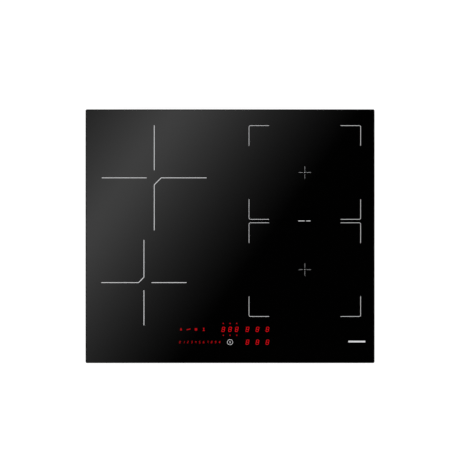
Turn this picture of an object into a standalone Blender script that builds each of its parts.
"""A built-in induction hob with four zones and touch controls, as an assembly of separate parts.

Metres, +Z up; the person cooking stands at -Y. The origin is under the middle of the glass, on
the plane that the base pan rests on. From the top down: a glass plate, glued to a sheet-metal
frame; a sprung deck that presses four coils up against the glass; and a stepped base pan with
the power electronics, two fans, and the mains terminals under its rear shelf.
"""
import math

import bmesh
import bpy
from mathutils import Matrix, Vector

MM = 0.001

# Clearances
GAP = 0.3 * MM                       # between two pieces that touch
SLIDE_CLEARANCE = 1.5 * MM           # beside a piece that moves past another

# Glass plate and the whole hob
GLASS_WIDTH = 590 * MM
GLASS_DEPTH = 518 * MM
GLASS_THICKNESS = 4 * MM
GLASS_CORNER = 3 * MM
GLASS_ARRIS = 0.8 * MM
OVERALL_HEIGHT = 60 * MM

# Worktop cut-out that the hob drops into
OVERHANG_SIDE = 15 * MM
OVERHANG_END = 14 * MM
CUTOUT_CLEARANCE = 4 * MM

# Sheet-metal frame under the glass, its silicone bead and the foam seal on the worktop
FRAME_SHEET = 1 * MM
FRAME_FLANGE = 12 * MM
FRAME_SKIRT = 12 * MM
FRAME_CORNER = 7 * MM
BEAD_THICKNESS = 0.8 * MM
BEAD_INSET = 1.5 * MM
SEAL_WIDTH = 9 * MM
SEAL_HEIGHT = 2.6 * MM
SEAL_INSET = 1.5 * MM                # from the cut-out's edge to the seal

# Stepped base pan
PAN_SHEET = 0.8 * MM
PAN_TOP_CLEARANCE = 1.6 * MM
SHELF_HEIGHT = 28 * MM
SHELF_SIDE = 29 * MM
SHELF_FRONT = 13 * MM
SHELF_REAR = 52 * MM
TUB_CORNER = 14 * MM
SLOT_WIDTH = 3.5 * MM
GRILLE_PITCH = 7.5 * MM
EXHAUST_PITCH = 9 * MM
EXHAUST_HEIGHT = 14 * MM
EXHAUST_SLOTS = 13                   # on each side of the front wall

# Sprung deck: tray, formers, windings, insulation and sensors
DECK_TRAVEL = 3 * MM
TRAY_THICKNESS = 1.5 * MM
TRAY_CLEARANCE = 5 * MM
TRAY_FRONT_GAP = 58 * MM             # from the pan's front wall to the tray
TRAY_WINDOW = 30 * MM                # hole under each coil's middle
FORMER_WALL = 1.5 * MM
FORMER_HEIGHT = 6.3 * MM
FORMER_RIM = 4 * MM                  # how far the former stands out round its winding
WINDING_HEIGHT = 4.5 * MM
WINDING_HOLE = 44 * MM
INSULATION_THICKNESS = 2 * MM
INSULATION_HOLE = 20 * MM
SENSOR_TIP_RADIUS = 3.5 * MM
SENSOR_FOOT_RADIUS = 8 * MM
SENSOR_FOOT_HEIGHT = 2 * MM
SPRING_RADIUS = 5 * MM
SPRING_WIRE = 1.1 * MM
SPRING_TURNS = 4
SPRING_Y = 70 * MM

# Cooking zones: how far each centre is from the glass's edges, and the winding's size
REAR_LEFT_FROM_SIDE = 140.3 * MM
REAR_LEFT_FROM_REAR = 139.9 * MM
REAR_LEFT_WINDING = 200 * MM
FRONT_LEFT_FROM_SIDE = 119.3 * MM
FRONT_LEFT_FROM_FRONT = 164.3 * MM
FRONT_LEFT_WINDING = 162 * MM
RIGHT_FROM_SIDE = 142.4 * MM
REAR_RIGHT_FROM_REAR = 129 * MM
FRONT_RIGHT_FROM_REAR = 327.2 * MM
RIGHT_WINDING_WIDTH = 208 * MM
RIGHT_WINDING_DEPTH = 176 * MM
RIGHT_WINDING_CORNER = 60 * MM

# Cooling fans, lying flat over the grilles in the pan's floor
FAN_SIZE = 92 * MM
FAN_HEIGHT = 25 * MM
FAN_WALL = 3 * MM
FAN_CORNER = 6 * MM
FAN_FROM_WALL = 10 * MM
FAN_HUB_RADIUS = 17 * MM
FAN_STRUT_WIDTH = 4 * MM
FAN_STRUT_HEIGHT = 2.5 * MM
FAN_SCREW_HOLE = 2.2 * MM
FAN_BLADES = 7
FAN_BLADE_CHORD = 20 * MM
FAN_BLADE_THICKNESS = 1.6 * MM
FAN_BLADE_PITCH = math.radians(33)

# Power electronics
BOARD_THICKNESS = 1.6 * MM
BOARD_STANDOFF = 6 * MM
BOARD_HOLE = 1.8 * MM
BOARD_CORNER = 3 * MM
POWER_BOARD_WIDTH = 140 * MM
POWER_BOARD_LENGTH = 185 * MM
FAN_TO_BOARD = 8 * MM
HEATSINK_WIDTH = 58 * MM
HEATSINK_LENGTH = 150 * MM
HEATSINK_HEIGHT = 25 * MM
HEATSINK_BASE = 6 * MM
HEATSINK_FINS = 9
HEATSINK_FIN_THICKNESS = 1.6 * MM
CAPACITOR_RADIUS = 11 * MM
CAPACITOR_HEIGHT = 24 * MM
FAN_TO_FILTER = 48 * MM
FILTER_BOARD_DEPTH = 90 * MM
CHOKE_RADIUS = 16 * MM
CHOKE_TUBE = 6.5 * MM

# Touch controls: rows counted from the glass's front edge, columns from its middle
FRONT_ROW = 42.8 * MM
REAR_ROW = 68.9 * MM
TIMER_MODULE_WIDTH = 42 * MM
DIGIT_MODULE_WIDTH = 13.5 * MM
DIGIT_MODULE_DEPTH = 15.5 * MM
FIRST_DIGIT_X = 35.5 * MM
DIGIT_PITCH = 20.4 * MM
ICON_WINDOW = (-106 * MM, -48 * MM)
SLIDER_WINDOW = (-106 * MM, -18 * MM)
POWER_WINDOW = 16 * MM
STRIP_WINDOW_DEPTH = 9 * MM
PANEL_LEFT = -112 * MM
PANEL_RIGHT = 88 * MM
PANEL_REAR_MARGIN = 12 * MM          # from the rear row to the light box's rear edge
LIGHT_BOX_HEIGHT = 9.5 * MM
HOLDER_PLATE = 2 * MM
HOLDER_POST_RADIUS = 4 * MM
HOLDER_POST_INSET = 12 * MM

# Mains terminals under the rear shelf
TERMINAL_BASE_THICKNESS = 2.5 * MM
TERMINAL_BASE_SIDE = 7 * MM          # how far the base stands out beside the cover
TERMINAL_WALL_GAP = 5 * MM           # from the tub to the cover
COVER_WIDTH = 90 * MM
COVER_DEPTH = 44 * MM
COVER_CLEARANCE = 2.9 * MM           # from the resting plane up to the cover
COVER_WALL = 2 * MM
BARREL_RADIUS = 3 * MM
PIN_RADIUS = 1 * MM
EAR_THICKNESS = 2 * MM
CABLE_NOTCH = 14 * MM
TERMINAL_BLOCK_WIDTH = 62 * MM
TERMINAL_BLOCK_DEPTH = 22 * MM
TERMINAL_WIRE_ROOM = 4 * MM          # between the block and the cover's floor
TERMINAL_WAYS = 5
TERMINAL_WAY_WIDTH = 7 * MM
TERMINAL_WAY_DEPTH = 6 * MM

# Swivelling worktop clamps under the side shelves
CLAMP_REACH = 45 * MM
CLAMP_WIDTH = 16 * MM
CLAMP_THICKNESS = 2 * MM
CLAMP_Y = 150 * MM
SCREW_RADIUS = 2 * MM
SCREW_HEAD_RADIUS = 4.5 * MM
SCREW_HEAD_HEIGHT = 3 * MM
SCREW_HEAD_CHAMFER = 1 * MM
SCREW_TIP = 6 * MM                   # how far the screw's end stands above the shelf

# Roundness
CORNER_STEPS = 5                     # sides in each quarter-round corner
ROUND_STEPS = 32                     # sides of a large round piece
SMALL_STEPS = 16                     # sides of a small round piece

# Worked-out heights, from the glass down
GLASS_UNDERSIDE = OVERALL_HEIGHT - GLASS_THICKNESS
BEAD_LOW = GLASS_UNDERSIDE - GAP - BEAD_THICKNESS
FRAME_TOP = BEAD_LOW - GAP
PAN_TOP = FRAME_TOP - FRAME_SHEET - PAN_TOP_CLEARANCE
INSULATION_LOW = GLASS_UNDERSIDE - GAP - INSULATION_THICKNESS
WINDING_LOW = INSULATION_LOW - GAP - WINDING_HEIGHT
FORMER_LOW = WINDING_LOW - GAP - FORMER_HEIGHT
TRAY_LOW = FORMER_LOW - GAP - TRAY_THICKNESS
SHELF_TOP = SHELF_HEIGHT + PAN_SHEET
BOARD_LOW = PAN_SHEET + BOARD_STANDOFF

# Worked-out half sizes, from the glass's edge inwards
CUTOUT_X = GLASS_WIDTH / 2 - OVERHANG_SIDE
CUTOUT_Y = GLASS_DEPTH / 2 - OVERHANG_END
FRAME_X = CUTOUT_X - CUTOUT_CLEARANCE
FRAME_Y = CUTOUT_Y - CUTOUT_CLEARANCE
PAN_X = FRAME_X - FRAME_SHEET - GAP
PAN_Y = FRAME_Y - FRAME_SHEET - GAP
TUB_X = PAN_X - SHELF_SIDE
TUB_FRONT = -PAN_Y + SHELF_FRONT
TUB_REAR = PAN_Y - SHELF_REAR
SIDE_SHELF_X = (PAN_X + TUB_X) / 2
FAN_X = TUB_X - PAN_SHEET - FAN_FROM_WALL - FAN_SIZE / 2
FAN_Y = TUB_REAR - PAN_SHEET - FAN_FROM_WALL - FAN_SIZE / 2
FAN_BORE_RADIUS = FAN_SIZE / 2 - FAN_WALL

# Worked-out places of the controls and the terminals
FRONT_ROW_Y = -GLASS_DEPTH / 2 + FRONT_ROW
REAR_ROW_Y = -GLASS_DEPTH / 2 + REAR_ROW
PANEL_FRONT = -FRAME_Y + FRAME_FLANGE + SLIDE_CLEARANCE
PANEL_REAR = REAR_ROW_Y + PANEL_REAR_MARGIN
LIGHT_BOX_LOW = GLASS_UNDERSIDE - GAP - LIGHT_BOX_HEIGHT
TOUCH_BOARD_LOW = LIGHT_BOX_LOW - GAP - BOARD_THICKNESS
COVER_FRONT = TUB_REAR + TERMINAL_WALL_GAP
COVER_REAR = COVER_FRONT + COVER_DEPTH
TERMINAL_BASE_LOW = SHELF_HEIGHT - GAP - TERMINAL_BASE_THICKNESS
COVER_TOP = TERMINAL_BASE_LOW - GAP
HINGE_Y = COVER_REAR - BARREL_RADIUS
HINGE_Z = COVER_TOP - BARREL_RADIUS


# ---------------------------------------------------------------- scene and materials

for leftover in list(bpy.data.objects):
    bpy.data.objects.remove(leftover, do_unlink=True)

PARTS = bpy.data.collections.new("induction_hob")
CUTTERS = bpy.data.collections.new("cutters")
bpy.context.scene.collection.children.link(PARTS)
bpy.context.scene.collection.children.link(CUTTERS)


def finish(name, colour, roughness, metallic=0.0):
    """A Principled material of one colour (linear), roughness and metallic value."""
    material = bpy.data.materials.new(name)
    material.use_nodes = True
    shader = material.node_tree.nodes["Principled BSDF"]
    shader.inputs["Base Color"].default_value = (*colour, 1.0)
    shader.inputs["Roughness"].default_value = roughness
    shader.inputs["Metallic"].default_value = metallic
    return material


BLACK_GLASS = finish("black_glass_ceramic", (0.004, 0.004, 0.005), 0.06)
GREY_SILICONE = finish("grey_silicone", (0.10, 0.10, 0.11), 0.6)
GALVANISED = finish("galvanised_steel", (0.52, 0.54, 0.56), 0.38, 1.0)
GREY_FOAM = finish("grey_sealing_foam", (0.16, 0.16, 0.17), 0.9)
ALUMINIUM_SHEET = finish("aluminium_sheet", (0.75, 0.76, 0.78), 0.35, 1.0)
HEAT_PLASTIC = finish("heat_resistant_plastic", (0.62, 0.58, 0.48), 0.55)
LITZ_WIRE = finish("enamelled_litz_wire", (0.48, 0.17, 0.06), 0.4, 0.8)
MICA = finish("mica_sheet", (0.66, 0.63, 0.55), 0.5)
WHITE_CERAMIC = finish("white_ceramic", (0.85, 0.84, 0.80), 0.4)
SPRING_STEEL = finish("spring_steel", (0.40, 0.40, 0.42), 0.3, 1.0)
CIRCUIT_BOARD = finish("circuit_board", (0.02, 0.16, 0.06), 0.45)
CAST_ALUMINIUM = finish("extruded_aluminium", (0.62, 0.63, 0.65), 0.4, 1.0)
CAPACITOR_SLEEVE = finish("capacitor_sleeve", (0.03, 0.05, 0.12), 0.3)
FERRITE = finish("wound_ferrite", (0.30, 0.12, 0.04), 0.4)
BLACK_PLASTIC = finish("black_plastic", (0.015, 0.015, 0.016), 0.5)
GREY_PLASTIC = finish("grey_plastic", (0.30, 0.31, 0.32), 0.5)
RED_DISPLAY = finish("red_display_resin", (0.20, 0.01, 0.01), 0.3)
ZINC_STEEL = finish("zinc_plated_steel", (0.66, 0.65, 0.60), 0.3, 1.0)


# ---------------------------------------------------------------- shared modelling helpers

def rounded_rectangle(x_low, x_high, y_low, y_high, radius, steps=CORNER_STEPS):
    """Outline points, anticlockwise, of a rectangle whose corners are quarter circles."""
    centres = ((x_high - radius, y_high - radius), (x_low + radius, y_high - radius),
               (x_low + radius, y_low + radius), (x_high - radius, y_low + radius))
    points = []
    for quarter, (cx, cy) in enumerate(centres):
        for step in range(steps + 1):
            angle = math.pi / 2 * (quarter + step / steps)
            points.append((cx + radius * math.cos(angle), cy + radius * math.sin(angle)))
    return points


def rectangle(x_low, x_high, y_low, y_high):
    """Outline points of a rectangle with square corners."""
    return [(x_high, y_high), (x_low, y_high), (x_low, y_low), (x_high, y_low)]


def circle(radius, steps, centre=(0.0, 0.0)):
    """Outline points of a regular polygon that stands for a circle."""
    angles = [2 * math.pi * step / steps for step in range(steps)]
    return [(centre[0] + radius * math.cos(a), centre[1] + radius * math.sin(a)) for a in angles]


def mesh_of(guide):
    """The evaluated mesh of a guide object, welded, with the guide and its data removed."""
    bpy.context.view_layer.update()
    graph = bpy.context.evaluated_depsgraph_get()
    mesh = bpy.data.meshes.new_from_object(guide.evaluated_get(graph))
    mesh.transform(guide.matrix_world)
    mesh.materials.clear()
    shape = bmesh.new()
    shape.from_mesh(mesh)
    bmesh.ops.remove_doubles(shape, verts=shape.verts, dist=0.001 * MM)
    bmesh.ops.recalc_face_normals(shape, faces=shape.faces)
    shape.to_mesh(mesh)
    shape.free()
    bpy.data.objects.remove(guide, do_unlink=True)
    return mesh


def plate_mesh(outlines, thickness, low=0.0):
    """A flat plate: the first outline is its edge, the others are holes through it."""
    curve = bpy.data.curves.new("outline", "CURVE")
    curve.dimensions = "2D"
    curve.fill_mode = "BOTH"
    curve.extrude = thickness / 2
    for outline in outlines:
        spline = curve.splines.new("POLY")
        spline.points.add(len(outline) - 1)
        for point, (x, y) in zip(spline.points, outline):
            point.co = (x, y, 0.0, 1.0)
        spline.use_cyclic_u = True
    guide = bpy.data.objects.new("outline", curve)
    guide.location.z = low + thickness / 2
    PARTS.objects.link(guide)
    return mesh_of(guide)


def boxes_mesh(boxes):
    """One mesh of separate boxes, each given as (x low, x high, y low, y high, z low, z high)."""
    shape = bmesh.new()
    for x_low, x_high, y_low, y_high, z_low, z_high in boxes:
        middle = Vector(((x_low + x_high) / 2, (y_low + y_high) / 2, (z_low + z_high) / 2))
        size = Matrix.Diagonal((x_high - x_low, y_high - y_low, z_high - z_low, 1.0))
        bmesh.ops.create_cube(shape, size=1.0, matrix=Matrix.Translation(middle) @ size)
    mesh = bpy.data.meshes.new("boxes")
    shape.to_mesh(mesh)
    shape.free()
    return mesh


def centred_box(width, depth, low, high):
    """The limits of a box about the Z axis, in the order that boxes_mesh takes them."""
    return (-width / 2, width / 2, -depth / 2, depth / 2, low, high)


def cylinders_mesh(radius, steps, z_low, z_high, centres=((0.0, 0.0),)):
    """One mesh of separate upright cylinders with closed ends."""
    shape = bmesh.new()
    for x, y in centres:
        place = Matrix.Translation((x, y, (z_low + z_high) / 2))
        bmesh.ops.create_cone(shape, cap_ends=True, segments=steps, radius1=radius, radius2=radius,
                              depth=z_high - z_low, matrix=place)
    mesh = bpy.data.meshes.new("cylinders")
    shape.to_mesh(mesh)
    shape.free()
    return mesh


def put(name, mesh, material, location=(0.0, 0.0, 0.0), parent=None, smooth=False):
    """A part: the mesh as an object of its own, with its material, at its place."""
    mesh.name = name
    part = bpy.data.objects.new(name, mesh)
    part.location = location
    part.parent = parent
    mesh.materials.append(material)
    if smooth:
        mesh.shade_smooth()
        mesh.set_sharp_from_angle(angle=math.radians(40))
    PARTS.objects.link(part)
    return part


def cut(part, mesh, name, operation="DIFFERENCE"):
    """Cut a mesh out of a part, or join it on, exactly; the mesh is in the part's own space."""
    tool = bpy.data.objects.new(name, mesh)
    tool.location = part.location
    tool.parent = part.parent
    tool.hide_render = True
    tool.display_type = "WIRE"
    CUTTERS.objects.link(tool)
    modifier = part.modifiers.new(name, "BOOLEAN")
    modifier.solver = "EXACT"
    modifier.operation = operation
    modifier.object = tool
    return part


def shell_mesh(loops, floor=False):
    """An open surface through rounded-rectangle loops, each (x low, x high, y low, y high, radius, z)."""
    shape = bmesh.new()
    rings = []
    for x_low, x_high, y_low, y_high, radius, z in loops:
        outline = rounded_rectangle(x_low, x_high, y_low, y_high, radius)
        rings.append([shape.verts.new((x, y, z)) for x, y in outline])
    for upper, lower in zip(rings, rings[1:]):
        for here in range(len(upper)):
            after = (here + 1) % len(upper)
            shape.faces.new((upper[here], lower[here], lower[after], upper[after]))
    if floor:
        shape.faces.new(tuple(rings[-1][::-1]))
    bmesh.ops.remove_doubles(shape, verts=shape.verts, dist=0.001 * MM)
    mesh = bpy.data.meshes.new("shell")
    shape.to_mesh(mesh)
    shape.free()
    return mesh


def thicken(part, thickness):
    """Give an open surface its sheet thickness, on the side away from its outer face."""
    modifier = part.modifiers.new("sheet", "SOLIDIFY")
    modifier.thickness = thickness
    modifier.offset = -1.0
    modifier.use_even_offset = True
    return part


def soften(part, width, segments=2):
    """Break a part's sharp edges."""
    modifier = part.modifiers.new("soft_edges", "BEVEL")
    modifier.width = width
    modifier.segments = segments
    modifier.limit_method = "ANGLE"
    modifier.angle_limit = math.radians(50)
    return part


def turned(name, profile, material, location, steps=SMALL_STEPS, parent=None):
    """A turned part: (radius, height) points, from the top down the outer side, turned about Z."""
    mesh = bpy.data.meshes.new(name)
    edges = [(here, here + 1) for here in range(len(profile) - 1)]
    mesh.from_pydata([(radius, 0.0, z) for radius, z in profile], edges, [])
    part = put(name, mesh, material, location, parent)
    modifier = part.modifiers.new("turn", "SCREW")
    modifier.axis = "Z"
    modifier.angle = 2 * math.pi
    modifier.steps = steps
    modifier.render_steps = steps
    modifier.use_merge_vertices = True
    modifier.merge_threshold = 0.001 * MM
    return part


def helix_mesh(radius, wire, turns, z_low, z_high, points_per_turn=12):
    """A round wire wound as a helix from one height to another."""
    curve = bpy.data.curves.new("helix", "CURVE")
    curve.dimensions = "3D"
    curve.bevel_depth = wire / 2
    curve.bevel_resolution = 1
    curve.use_fill_caps = True
    spline = curve.splines.new("POLY")
    count = turns * points_per_turn + 1
    spline.points.add(count - 1)
    for index, point in enumerate(spline.points):
        angle = 2 * math.pi * index / points_per_turn
        z = z_low + (z_high - z_low) * index / (count - 1)
        point.co = (radius * math.cos(angle), radius * math.sin(angle), z, 1.0)
    guide = bpy.data.objects.new("helix", curve)
    PARTS.objects.link(guide)
    return mesh_of(guide)


def empty_at(name, location):
    """An empty that carries the pieces of one moving body."""
    carrier = bpy.data.objects.new(name, None)
    carrier.location = location
    PARTS.objects.link(carrier)
    return carrier


# ---------------------------------------------------------------- glass, frame and seals

def make_glass():
    """The glass-ceramic plate, with ground arrises along its edges."""
    x, y = GLASS_WIDTH / 2, GLASS_DEPTH / 2
    outline = rounded_rectangle(-x, x, -y, y, GLASS_CORNER)
    plate = put("glass_top", plate_mesh([outline], GLASS_THICKNESS, GLASS_UNDERSIDE), BLACK_GLASS)
    soften(plate, GLASS_ARRIS)


def make_frame():
    """An angle-section ring: a flange that the glass is glued to, and a skirt outside the pan."""
    inner_x = FRAME_X - FRAME_FLANGE
    inner_y = FRAME_Y - FRAME_FLANGE
    skirt_low = FRAME_TOP - FRAME_SKIRT
    loops = ((-inner_x, inner_x, -inner_y, inner_y, FRAME_CORNER, FRAME_TOP),
             (-FRAME_X, FRAME_X, -FRAME_Y, FRAME_Y, FRAME_CORNER, FRAME_TOP),
             (-FRAME_X, FRAME_X, -FRAME_Y, FRAME_Y, FRAME_CORNER, skirt_low))
    thicken(put("glass_frame", shell_mesh(loops), GALVANISED), FRAME_SHEET)


def ring_plate(name, x, y, width, corner, thickness, low, material):
    """A flat ring of even width whose outer edge is at x and y from the middle."""
    outer = rounded_rectangle(-x, x, -y, y, corner)
    inner = rounded_rectangle(width - x, x - width, width - y, y - width, corner)
    put(name, plate_mesh([outer, inner], thickness, low), material)


def make_seals():
    """The silicone bead between glass and frame, and the foam that seals to the worktop."""
    bead_width = FRAME_FLANGE - 2 * BEAD_INSET
    ring_plate("glass_adhesive", FRAME_X - BEAD_INSET, FRAME_Y - BEAD_INSET, bead_width,
               FRAME_CORNER, BEAD_THICKNESS, BEAD_LOW, GREY_SILICONE)
    ring_plate("worktop_seal", CUTOUT_X + SEAL_INSET + SEAL_WIDTH, CUTOUT_Y + SEAL_INSET + SEAL_WIDTH,
               SEAL_WIDTH, FRAME_CORNER, SEAL_HEIGHT, GLASS_UNDERSIDE - GAP - SEAL_HEIGHT, GREY_FOAM)


# ---------------------------------------------------------------- base pan

def grille_slots(x, y):
    """Slots side by side that fill the fan's bore, cut through the pan's floor."""
    reach = FAN_BORE_RADIUS - SLOT_WIDTH
    each_side = int(reach / GRILLE_PITCH)
    slots = []
    for row in range(-each_side, each_side + 1):
        offset = row * GRILLE_PITCH
        half = math.sqrt(reach ** 2 - offset ** 2)
        slots.append((x - half, x + half, y + offset - SLOT_WIDTH / 2, y + offset + SLOT_WIDTH / 2,
                      -PAN_SHEET, 2 * PAN_SHEET))
    return slots


def exhaust_slots():
    """Upright slots in the tub's front wall, in front of each heat sink."""
    low = (SHELF_HEIGHT - EXHAUST_HEIGHT) / 2
    slots = []
    for side in (-1, 1):
        for index in range(EXHAUST_SLOTS):
            x = side * FAN_X + (index - (EXHAUST_SLOTS - 1) / 2) * EXHAUST_PITCH
            slots.append((x - SLOT_WIDTH / 2, x + SLOT_WIDTH / 2, TUB_FRONT - PAN_SHEET,
                          TUB_FRONT + 2 * PAN_SHEET, low, low + EXHAUST_HEIGHT))
    return slots


def make_pan():
    """A stepped pan: a rim the size of the cut-out, a shelf all round, and a smaller, deeper tub."""
    corner = FRAME_CORNER - FRAME_SHEET - GAP
    loops = ((-PAN_X, PAN_X, -PAN_Y, PAN_Y, corner, PAN_TOP),
             (-PAN_X, PAN_X, -PAN_Y, PAN_Y, corner, SHELF_HEIGHT),
             (-TUB_X, TUB_X, TUB_FRONT, TUB_REAR, TUB_CORNER, SHELF_HEIGHT),
             (-TUB_X, TUB_X, TUB_FRONT, TUB_REAR, TUB_CORNER, 0.0))
    pan = thicken(put("base_pan", shell_mesh(loops, floor=True), GALVANISED), PAN_SHEET)
    slots = grille_slots(-FAN_X, FAN_Y) + grille_slots(FAN_X, FAN_Y) + exhaust_slots()
    cut(pan, boxes_mesh(slots), "air_slots")
    holes = [(side * SIDE_SHELF_X, end * CLAMP_Y) for side in (-1, 1) for end in (-1, 1)]
    screw_holes = cylinders_mesh(SCREW_RADIUS + GAP, SMALL_STEPS, SHELF_HEIGHT - PAN_SHEET,
                                 SHELF_TOP + PAN_SHEET, holes)
    cut(pan, screw_holes, "clamp_screw_holes")


# ---------------------------------------------------------------- sprung coil deck

def cooking_zones():
    """Each zone's name, centre, and winding width, depth and corner radius."""
    right_x = GLASS_WIDTH / 2 - RIGHT_FROM_SIDE
    rear = GLASS_DEPTH / 2
    return (
        ("rear_left", REAR_LEFT_FROM_SIDE - GLASS_WIDTH / 2, rear - REAR_LEFT_FROM_REAR,
         REAR_LEFT_WINDING, REAR_LEFT_WINDING, REAR_LEFT_WINDING / 2),
        ("front_left", FRONT_LEFT_FROM_SIDE - GLASS_WIDTH / 2, FRONT_LEFT_FROM_FRONT - rear,
         FRONT_LEFT_WINDING, FRONT_LEFT_WINDING, FRONT_LEFT_WINDING / 2),
        ("rear_right", right_x, rear - REAR_RIGHT_FROM_REAR,
         RIGHT_WINDING_WIDTH, RIGHT_WINDING_DEPTH, RIGHT_WINDING_CORNER),
        ("front_right", right_x, rear - FRONT_RIGHT_FROM_REAR,
         RIGHT_WINDING_WIDTH, RIGHT_WINDING_DEPTH, RIGHT_WINDING_CORNER))


def centred_outline(width, depth, radius, steps=CORNER_STEPS):
    """A rounded rectangle about the middle; with a radius of half its width it is a circle."""
    return rounded_rectangle(-width / 2, width / 2, -depth / 2, depth / 2, radius, steps)


def make_coil(zone, deck):
    """One coil: its former, flat winding, insulating sheet and temperature sensor."""
    name, x, y, width, depth, corner = zone
    quarter_steps = ROUND_STEPS // 4
    hole = circle(WINDING_HOLE / 2, ROUND_STEPS)
    place = (x, y, 0.0)

    former_x, former_y = width / 2 + FORMER_RIM, depth / 2 + FORMER_RIM
    hub = WINDING_HOLE / 2 - FORMER_RIM
    rim_corner = corner + FORMER_RIM
    loops = ((-hub, hub, -hub, hub, hub, -FORMER_HEIGHT),
             (-hub, hub, -hub, hub, hub, 0.0),
             (-former_x, former_x, -former_y, former_y, rim_corner, 0.0),
             (-former_x, former_x, -former_y, former_y, rim_corner, -FORMER_HEIGHT))
    former = put("coil_former_" + name, shell_mesh(loops), HEAT_PLASTIC,
                 (x, y, FORMER_LOW + FORMER_HEIGHT), deck)
    thicken(former, FORMER_WALL)

    outline = centred_outline(width, depth, corner, quarter_steps)
    winding = put("coil_winding_" + name, plate_mesh([outline, hole], WINDING_HEIGHT, WINDING_LOW),
                  LITZ_WIRE, place, deck, smooth=True)
    soften(winding, WINDING_HEIGHT / 4, 1)
    sheet_outline = centred_outline(width + FORMER_RIM, depth + FORMER_RIM, corner, quarter_steps)
    sheet_hole = circle(INSULATION_HOLE / 2, SMALL_STEPS)
    sheet = plate_mesh([sheet_outline, sheet_hole], INSULATION_THICKNESS, INSULATION_LOW)
    put("coil_insulation_" + name, sheet, MICA, place, deck)

    foot_top = FORMER_LOW + SENSOR_FOOT_HEIGHT
    profile = ((0.0, GLASS_UNDERSIDE - GAP), (SENSOR_TIP_RADIUS, GLASS_UNDERSIDE - GAP),
               (SENSOR_TIP_RADIUS, foot_top), (SENSOR_FOOT_RADIUS, foot_top),
               (SENSOR_FOOT_RADIUS, FORMER_LOW), (0.0, FORMER_LOW))
    turned("coil_sensor_" + name, profile, WHITE_CERAMIC, place, SMALL_STEPS, deck)


def make_deck():
    """The tray that carries the coils, and the four springs that press it up to the glass."""
    deck = empty_at("coil_deck", (0.0, 0.0, 0.0))
    x = PAN_X - PAN_SHEET - TRAY_CLEARANCE
    rear = PAN_Y - PAN_SHEET - TRAY_CLEARANCE
    front = -PAN_Y + TRAY_FRONT_GAP
    notch_rear = PANEL_REAR + TRAY_CLEARANCE
    notch_left = PANEL_LEFT - TRAY_CLEARANCE
    notch_right = PANEL_RIGHT + TRAY_CLEARANCE
    outline = [(x, rear), (-x, rear), (-x, front), (notch_left, front), (notch_left, notch_rear),
               (notch_right, notch_rear), (notch_right, front), (x, front)]
    zones = cooking_zones()
    windows = [circle(TRAY_WINDOW / 2, SMALL_STEPS, (zone[1], zone[2])) for zone in zones]
    tray = plate_mesh([outline, *windows], TRAY_THICKNESS, TRAY_LOW)
    for zone in zones:
        make_coil(zone, deck)
    put("coil_tray", tray, ALUMINIUM_SHEET, (0.0, 0.0, 0.0), deck)
    spring_low = SHELF_TOP + GAP + SPRING_WIRE / 2
    spring_high = TRAY_LOW - GAP - SPRING_WIRE / 2
    for side, side_name in ((-1, "left"), (1, "right")):
        for end, end_name in ((-1, "front"), (1, "rear")):
            wire = helix_mesh(SPRING_RADIUS, SPRING_WIRE, SPRING_TURNS, spring_low, spring_high)
            put("deck_spring_" + end_name + "_" + side_name, wire, SPRING_STEEL,
                (side * SIDE_SHELF_X, end * SPRING_Y, 0.0), smooth=True)


# ---------------------------------------------------------------- fans

def fan_blades_mesh():
    """The rotor's blades: flat vanes, pitched about their own length and set evenly round the hub."""
    inner = FAN_HUB_RADIUS - FAN_BLADE_THICKNESS
    outer = FAN_BORE_RADIUS - SLIDE_CLEARANCE
    size = Matrix.Diagonal((outer - inner, FAN_BLADE_CHORD, FAN_BLADE_THICKNESS, 1.0))
    shape = bmesh.new()
    for blade in range(FAN_BLADES):
        turn = Matrix.Rotation(2 * math.pi * blade / FAN_BLADES, 4, "Z")
        out = Matrix.Translation(((inner + outer) / 2, 0.0, 0.0))
        pitch = Matrix.Rotation(FAN_BLADE_PITCH, 4, "X")
        bmesh.ops.create_cube(shape, size=1.0, matrix=turn @ out @ pitch @ size)
    mesh = bpy.data.meshes.new("blades")
    shape.to_mesh(mesh)
    shape.free()
    return mesh


def make_fan(name, x, y):
    """An axial fan lying flat: a square housing with a strutted motor mount, and its rotor."""
    low = PAN_SHEET + GAP
    half = FAN_SIZE / 2
    corner_hole = half - FAN_CORNER
    holes = [circle(FAN_SCREW_HOLE, SMALL_STEPS // 2, (a * corner_hole, b * corner_hole))
             for a in (-1, 1) for b in (-1, 1)]
    square = centred_outline(FAN_SIZE, FAN_SIZE, FAN_CORNER)
    frame = plate_mesh([square, circle(FAN_BORE_RADIUS, ROUND_STEPS), *holes], FAN_HEIGHT)
    housing = put("fan_housing_" + name, frame, BLACK_PLASTIC, (x, y, low))
    reach = FAN_BORE_RADIUS + FAN_WALL / 2
    width = FAN_STRUT_WIDTH / 2
    across = boxes_mesh([(-reach, reach, -width, width, GAP, FAN_STRUT_HEIGHT)])
    cut(housing, across, "strut_across", "UNION")
    along = boxes_mesh([(-width, width, -reach, reach, GAP, FAN_STRUT_HEIGHT)])
    cut(housing, along, "strut_along", "UNION")
    mount = cylinders_mesh(FAN_HUB_RADIUS, SMALL_STEPS, 2 * GAP, FAN_STRUT_HEIGHT - GAP)
    cut(housing, mount, "motor_mount", "UNION")

    rotor_low = low + FAN_STRUT_HEIGHT + SLIDE_CLEARANCE
    rotor_height = FAN_HEIGHT - FAN_STRUT_HEIGHT - 2 * SLIDE_CLEARANCE
    hub = cylinders_mesh(FAN_HUB_RADIUS, SMALL_STEPS, -rotor_height / 2, rotor_height / 2)
    rotor = put("fan_rotor_" + name, hub, BLACK_PLASTIC, (x, y, rotor_low + rotor_height / 2))
    cut(rotor, fan_blades_mesh(), "blades", "UNION")


# ---------------------------------------------------------------- power electronics

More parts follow.
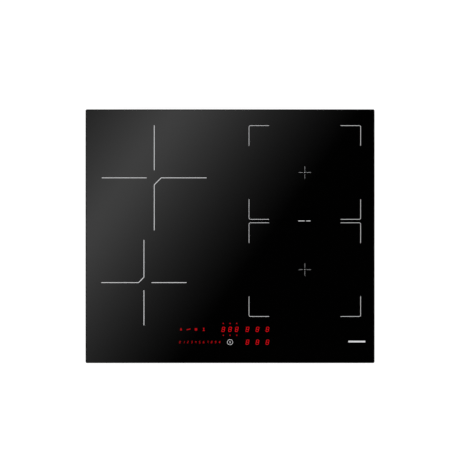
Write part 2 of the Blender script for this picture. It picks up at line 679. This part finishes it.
def board_mesh(width, depth, low):
    """A circuit board with a fixing hole near each corner."""
    inset = BOARD_CORNER + BOARD_HOLE
    holes = [circle(BOARD_HOLE, SMALL_STEPS // 2, (a * (width / 2 - inset), b * (depth / 2 - inset)))
             for a in (-1, 1) for b in (-1, 1)]
    return plate_mesh([centred_outline(width, depth, BOARD_CORNER, 2), *holes], BOARD_THICKNESS, low)


def heatsink_mesh():
    """A finned extrusion: the comb outline stands in X and Z, and the length runs along Y."""
    half = HEATSINK_WIDTH / 2
    pitch = (HEATSINK_WIDTH - HEATSINK_FIN_THICKNESS) / (HEATSINK_FINS - 1)
    outline = [(-half, 0.0), (half, 0.0)]
    for fin in range(HEATSINK_FINS):
        right = half - fin * pitch
        left = right - HEATSINK_FIN_THICKNESS
        if fin > 0:
            outline.append((right, HEATSINK_BASE))
        outline.append((right, HEATSINK_HEIGHT))
        outline.append((left, HEATSINK_HEIGHT))
        if fin < HEATSINK_FINS - 1:
            outline.append((left, HEATSINK_BASE))
    mesh = plate_mesh([outline], HEATSINK_LENGTH, -HEATSINK_LENGTH / 2)
    mesh.transform(Matrix.Rotation(math.pi / 2, 4, "X"))
    return mesh


def make_power_electronics():
    """Two inverter boards, each with its heat sink in its fan's air, and the mains filter between."""
    top = BOARD_LOW + BOARD_THICKNESS + GAP
    board_y = FAN_Y - FAN_SIZE / 2 - FAN_TO_BOARD - POWER_BOARD_LENGTH / 2
    board_x = TUB_X - PAN_SHEET - FAN_FROM_WALL - POWER_BOARD_WIDTH / 2
    for side, name in ((-1, "left"), (1, "right")):
        put("power_board_" + name, board_mesh(POWER_BOARD_WIDTH, POWER_BOARD_LENGTH, BOARD_LOW),
            CIRCUIT_BOARD, (side * board_x, board_y, 0.0))
        put("heatsink_" + name, heatsink_mesh(), CAST_ALUMINIUM, (side * FAN_X, board_y, top))
        capacitor_x = side * (board_x - POWER_BOARD_WIDTH / 2 + CAPACITOR_RADIUS + BOARD_CORNER)
        barrel = cylinders_mesh(CAPACITOR_RADIUS, SMALL_STEPS, 0.0, CAPACITOR_HEIGHT)
        can = put("dc_capacitor_" + name, barrel, CAPACITOR_SLEEVE, (capacitor_x, board_y, top),
                  smooth=True)
        soften(can, MM)

    filter_width = 2 * (FAN_X - FAN_SIZE / 2 - FAN_TO_FILTER)
    filter_y = TUB_REAR - PAN_SHEET - FAN_FROM_WALL - FILTER_BOARD_DEPTH / 2
    put("filter_board", board_mesh(filter_width, FILTER_BOARD_DEPTH, BOARD_LOW), CIRCUIT_BOARD,
        (0.0, filter_y, 0.0))
    bpy.ops.mesh.primitive_torus_add(major_radius=CHOKE_RADIUS, minor_radius=CHOKE_TUBE,
                                     major_segments=24, minor_segments=10)
    ring = bpy.context.active_object
    mesh = ring.data
    bpy.data.objects.remove(ring, do_unlink=True)
    put("filter_choke", mesh, FERRITE, (filter_width / 4, filter_y, top + CHOKE_TUBE), smooth=True)


# ---------------------------------------------------------------- touch controls

def display_modules():
    """Each display's name, centre and width: a wide one for the timer and six single digits."""
    modules = [("timer_display", 0.0, REAR_ROW_Y, TIMER_MODULE_WIDTH)]
    for row_name, row_y in (("rear", REAR_ROW_Y), ("front", FRONT_ROW_Y)):
        for column in range(3):
            modules.append(("zone_display_" + row_name + "_" + str(column + 1),
                            FIRST_DIGIT_X + column * DIGIT_PITCH, row_y, DIGIT_MODULE_WIDTH))
    return modules


def panel_outline():
    """The touch panel's footprint behind the glass's front edge."""
    return rounded_rectangle(PANEL_LEFT, PANEL_RIGHT, PANEL_FRONT, PANEL_REAR, BOARD_CORNER, 2)


def make_touch_controls():
    """The light box behind the glass, its displays, the touch board and the board's holder."""
    strip = STRIP_WINDOW_DEPTH / 2
    power = POWER_WINDOW / 2
    windows = [rectangle(*ICON_WINDOW, REAR_ROW_Y - strip, REAR_ROW_Y + strip),
               rectangle(*SLIDER_WINDOW, FRONT_ROW_Y - strip, FRONT_ROW_Y + strip),
               rectangle(-power, power, FRONT_ROW_Y - power, FRONT_ROW_Y + power)]
    for name, x, y, width in display_modules():
        half_x, half_y = width / 2 + GAP, DIGIT_MODULE_DEPTH / 2 + GAP
        windows.append(rectangle(x - half_x, x + half_x, y - half_y, y + half_y))
        body = centred_box(width, DIGIT_MODULE_DEPTH, LIGHT_BOX_LOW, GLASS_UNDERSIDE - GAP)
        soften(put(name, boxes_mesh([body]), RED_DISPLAY, (x, y, 0.0)), MM / 2, 1)
    box = plate_mesh([panel_outline(), *windows], LIGHT_BOX_HEIGHT, LIGHT_BOX_LOW)
    put("light_box", box, BLACK_PLASTIC)
    put("touch_board", plate_mesh([panel_outline()], BOARD_THICKNESS, TOUCH_BOARD_LOW), CIRCUIT_BOARD)

    plate_low = TOUCH_BOARD_LOW - GAP - HOLDER_PLATE
    plate = plate_mesh([panel_outline()], HOLDER_PLATE, plate_low)
    holder = put("touch_board_holder", plate, GREY_PLASTIC)
    front_post = TUB_FRONT + PAN_SHEET + HOLDER_POST_RADIUS + SLIDE_CLEARANCE
    rear_post = PANEL_REAR - HOLDER_POST_INSET
    places = [(x, y) for x in (PANEL_LEFT + HOLDER_POST_INSET, PANEL_RIGHT - HOLDER_POST_INSET)
              for y in (front_post, rear_post)]
    post_low = PAN_SHEET + GAP
    post_high = plate_low + HOLDER_PLATE / 2
    posts = cylinders_mesh(HOLDER_POST_RADIUS, SMALL_STEPS, post_low, post_high, places)
    cut(holder, posts, "posts", "UNION")


# ---------------------------------------------------------------- mains terminals

def make_terminal_base():
    """The moulded base under the rear shelf, with an ear at each end of the cover's hinge."""
    half = COVER_WIDTH / 2 + TERMINAL_BASE_SIDE
    plate = (-half, half, COVER_FRONT, HINGE_Y, TERMINAL_BASE_LOW, SHELF_HEIGHT - GAP)
    base = put("terminal_base", boxes_mesh([plate]), BLACK_PLASTIC)
    ear_middle = COVER_WIDTH / 2 + GAP + EAR_THICKNESS / 2
    ears = [(side * ear_middle - EAR_THICKNESS / 2, side * ear_middle + EAR_THICKNESS / 2,
             HINGE_Y - BARREL_RADIUS, HINGE_Y + BARREL_RADIUS, HINGE_Z - BARREL_RADIUS,
             TERMINAL_BASE_LOW + TERMINAL_BASE_THICKNESS / 2) for side in (-1, 1)]
    cut(base, boxes_mesh(ears), "ears", "UNION")
    pin_hole = hinge_cylinder(PIN_RADIUS + GAP, COVER_WIDTH + 4 * EAR_THICKNESS, (0.0, HINGE_Y, HINGE_Z))
    cut(base, pin_hole, "pin_hole")


def hinge_cylinder(radius, length, centre=(0.0, 0.0, 0.0)):
    """A cylinder along the hinge's axis, X."""
    mesh = cylinders_mesh(radius, SMALL_STEPS, -length / 2, length / 2)
    mesh.transform(Matrix.Translation(centre) @ Matrix.Rotation(math.pi / 2, 4, "Y"))
    return mesh


def make_terminal_cover():
    """A box open at the top that swings down on a barrel along its rear edge, about the pin."""
    half = COVER_WIDTH / 2
    front = COVER_FRONT - HINGE_Y
    rear = BARREL_RADIUS
    top = BARREL_RADIUS
    low = COVER_CLEARANCE - HINGE_Z
    place = (0.0, HINGE_Y, HINGE_Z)
    cover = put("terminal_cover", boxes_mesh([(-half, half, front, rear, low, top)]), BLACK_PLASTIC, place)
    hollow = (COVER_WALL - half, half - COVER_WALL, front + COVER_WALL, rear - COVER_WALL,
              low + COVER_WALL, top + COVER_WALL)
    notch_y = (front + rear) / 2
    cable = (-half - COVER_WALL, 2 * COVER_WALL - half, notch_y - CABLE_NOTCH / 2,
             notch_y + CABLE_NOTCH / 2, top - CABLE_NOTCH, top + 2 * COVER_WALL)
    knuckle_space = (-half - COVER_WALL, half + COVER_WALL, -BARREL_RADIUS, rear + COVER_WALL,
                     0.0, top + 3 * COVER_WALL)
    cut(cover, boxes_mesh([hollow]), "inside")
    cut(cover, boxes_mesh([cable]), "cable_notch")
    cut(cover, boxes_mesh([knuckle_space]), "knuckle_space")
    cut(cover, hinge_cylinder(BARREL_RADIUS, COVER_WIDTH), "barrel", "UNION")
    cut(cover, hinge_cylinder(PIN_RADIUS + GAP, COVER_WIDTH + 2 * COVER_WALL), "pin_bore")

    pin = hinge_cylinder(PIN_RADIUS, COVER_WIDTH + 2 * GAP + 2 * EAR_THICKNESS)
    put("terminal_hinge_pin", pin, ZINC_STEEL, place, smooth=True)


def make_terminal_block():
    """A row of screw terminals hanging from the base, with a wire way between each pair of walls."""
    middle_y = (COVER_FRONT + COVER_REAR) / 2 - BARREL_RADIUS
    low = COVER_CLEARANCE + COVER_WALL + TERMINAL_WIRE_ROOM
    body = centred_box(TERMINAL_BLOCK_WIDTH, TERMINAL_BLOCK_DEPTH, low, TERMINAL_BASE_LOW - GAP)
    block = put("terminal_block", boxes_mesh([body]), GREY_PLASTIC, (0.0, middle_y, 0.0))
    pitch = TERMINAL_BLOCK_WIDTH / TERMINAL_WAYS
    ways = []
    for way in range(TERMINAL_WAYS):
        x = (way - (TERMINAL_WAYS - 1) / 2) * pitch
        ways.append((x - TERMINAL_WAY_WIDTH / 2, x + TERMINAL_WAY_WIDTH / 2, -TERMINAL_BLOCK_DEPTH,
                     TERMINAL_BLOCK_DEPTH, low - MM, low + TERMINAL_WAY_DEPTH))
    cut(block, boxes_mesh(ways), "wire_ways")


# ---------------------------------------------------------------- worktop clamps

def make_clamp(side, end, name):
    """A flat clamp that swivels on a screw: parked along the shelf, it turns out under the worktop."""
    towards_middle = -end
    reach = towards_middle * CLAMP_REACH
    half = CLAMP_WIDTH / 2
    y_low, y_high = min(-half * towards_middle, reach), max(-half * towards_middle, reach)
    outline = rounded_rectangle(-half, half, y_low, y_high, half)
    hole = circle(SCREW_RADIUS + GAP, SMALL_STEPS)
    pivot = (side * SIDE_SHELF_X, end * CLAMP_Y, SHELF_HEIGHT - GAP - CLAMP_THICKNESS)
    put("worktop_clamp_" + name, plate_mesh([outline, hole], CLAMP_THICKNESS), ZINC_STEEL, pivot)
    head_top = -GAP
    head_low = head_top - SCREW_HEAD_HEIGHT
    tip = CLAMP_THICKNESS + GAP + PAN_SHEET + SCREW_TIP
    profile = ((0.0, tip), (SCREW_RADIUS, tip), (SCREW_RADIUS, head_top),
               (SCREW_HEAD_RADIUS, head_top), (SCREW_HEAD_RADIUS, head_low + SCREW_HEAD_CHAMFER),
               (SCREW_HEAD_RADIUS - SCREW_HEAD_CHAMFER, head_low), (0.0, head_low))
    turned("clamp_screw_" + name, profile, ZINC_STEEL, pivot)


def make_hob():
    """The whole hob, from the glass down."""
    make_glass()
    make_frame()
    make_seals()
    make_pan()
    make_deck()
    for side, name in ((-1, "left"), (1, "right")):
        make_fan(name, side * FAN_X, FAN_Y)
    make_power_electronics()
    make_touch_controls()
    make_terminal_base()
    make_terminal_cover()
    make_terminal_block()
    for side, side_name in ((-1, "left"), (1, "right")):
        for end, end_name in ((-1, "front"), (1, "rear")):
            make_clamp(side, end, end_name + "_" + side_name)


make_hob()
